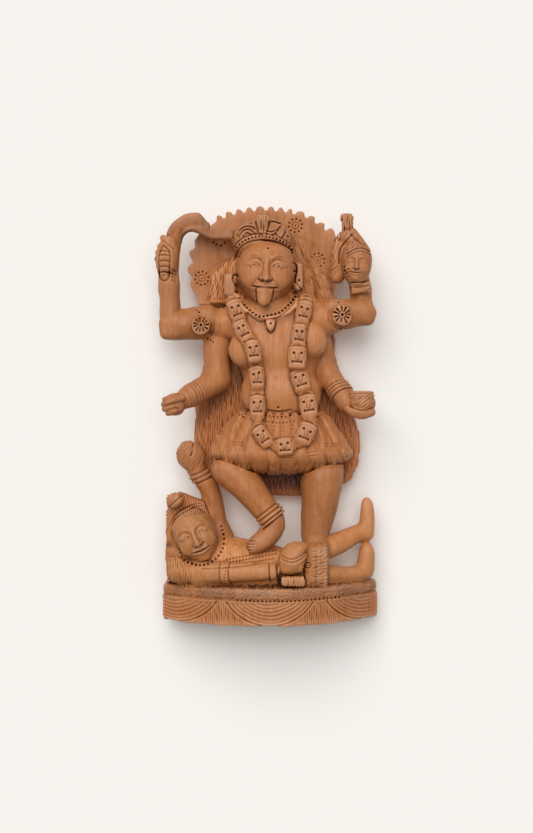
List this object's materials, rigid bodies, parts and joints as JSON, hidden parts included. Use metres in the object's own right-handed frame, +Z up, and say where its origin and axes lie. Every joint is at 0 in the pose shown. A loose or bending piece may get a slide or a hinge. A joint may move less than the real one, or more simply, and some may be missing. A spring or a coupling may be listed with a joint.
{
  "type": "carved wooden deity figurine",
  "caption": "Carved wooden temple figurine: a many-armed goddess before a scalloped halo, standing on a recumbent god on a half-round base.",
  "frame": {"origin": "on the underside of the base, on the figure's middle plane", "axes": "+Z up the figure; the figure faces -Y; +X is the viewer's right"},
  "size_m": [0.1624, 0.064, 0.3035],
  "materials": {
    "base_wood": "satin, hand carved",
    "mat_wood": "satin, hand carved",
    "recumbent_wood": "satin, hand carved",
    "raised_arm_wood": "satin, hand carved",
    "body_wood": "satin, hand carved",
    "face_wood": "satin, hand carved",
    "leg_wood": "satin, hand carved",
    "arm_wood": "satin, hand carved",
    "cloth_wood": "satin, hand carved",
    "deep_wood": "satin, hand carved",
    "halo_wood": "satin, hand carved",
    "ornament_wood": "satin, hand carved",
    "garland_wood": "satin, hand carved"
  },
  "bodies": {
    "root": {"base_plinth": "base_wood", "base_mat": "mat_wood", "recumbent_torso": "recumbent_wood", "recumbent_hips": "recumbent_wood", "recumbent_upper_leg": "recumbent_wood", "recumbent_lower_leg": "recumbent_wood", "recumbent_head": "recumbent_wood", "recumbent_hair": "deep_wood", "recumbent_topknot": "deep_wood", "recumbent_front_arm": "recumbent_wood", "recumbent_front_hand": "recumbent_wood", "hand_rest": "recumbent_wood", "recumbent_raised_arm": "raised_arm_wood", "torso": "body_wood", "head": "face_wood", "crown": "ornament_wood", "skirt": "cloth_wood", "bent_leg": "leg_wood", "bent_foot": "leg_wood", "standing_leg": "leg_wood", "upper_arm_sword": "arm_wood", "forearm_sword": "arm_wood", "hand_sword": "arm_wood", "upper_arm_head": "arm_wood", "forearm_head": "arm_wood", "hand_head": "arm_wood", "lower_arm_right": "arm_wood", "lower_hand_right": "arm_wood", "lower_arm_left": "arm_wood", "lower_hand_left": "arm_wood", "sword": "deep_wood", "severed_head": "ornament_wood", "severed_head_hair": "deep_wood", "bowl": "ornament_wood", "back_hair": "deep_wood", "side_lock_right": "halo_wood", "side_lock_left": "halo_wood", "halo": "halo_wood", "rosette_right": "ornament_wood", "rosette_left": "ornament_wood", "ear_plate_right": "ornament_wood", "ear_plate_left": "ornament_wood", "anklet": "leg_wood", "necklace": "body_wood", "pendant": "body_wood", "girdle": "cloth_wood", "garland_head_01": "garland_wood", "garland_head_02": "garland_wood", "garland_head_03": "garland_wood", "garland_head_04": "garland_wood", "garland_head_05": "garland_wood", "garland_head_06": "garland_wood", "garland_head_07": "garland_wood", "garland_head_08": "garland_wood", "garland_head_09": "garland_wood", "garland_head_10": "garland_wood", "garland_head_11": "garland_wood", "garland_head_12": "garland_wood", "garland_head_13": "garland_wood"}
  },
  "joints": []
}
